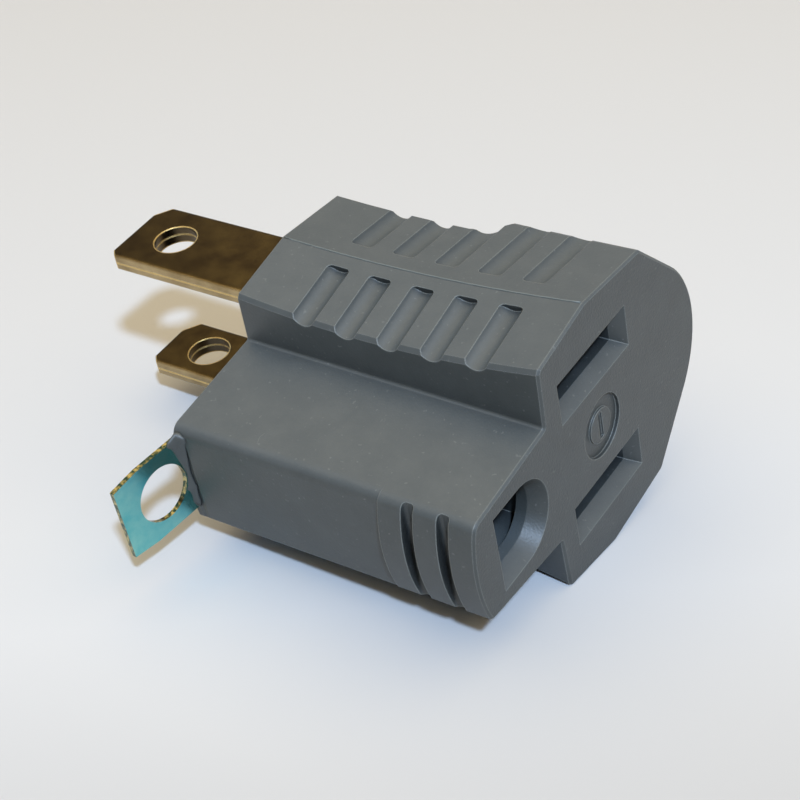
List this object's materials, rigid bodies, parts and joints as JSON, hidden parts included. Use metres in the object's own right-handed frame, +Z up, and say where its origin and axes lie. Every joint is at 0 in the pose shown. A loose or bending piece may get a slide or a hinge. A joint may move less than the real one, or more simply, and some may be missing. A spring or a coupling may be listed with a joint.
{
  "type": "grounding plug adapter",
  "caption": "Three-slot to two-blade grounding plug adapter: moulded grey body with finger grooves, two folded brass blades and a ground tab with a screw hole.",
  "frame": {"origin": "on the surface the adapter lies on, under the middle of its bounding box", "axes": "+Z up; +X out of the socket face, within about 2.3 degrees of the slots' axis, so the blades point to -X; the ground side is towards -Y. The adapter lies on the lower roof of its ground side, as in the picture, which turns its cross-section about 10 degrees about X"},
  "size_m": [0.0478, 0.0408, 0.025],
  "materials": {
    "grey_vinyl": "satin moulded vinyl",
    "brass_strip": "tarnished rolled brass strip with bright edges",
    "green_metal": "green-dyed bright metal strip"
  },
  "bodies": {
    "root": {"body": "grey_vinyl", "neutral_contact": "brass_strip", "hot_contact": "brass_strip", "ground_contact": "green_metal"}
  },
  "joints": []
}
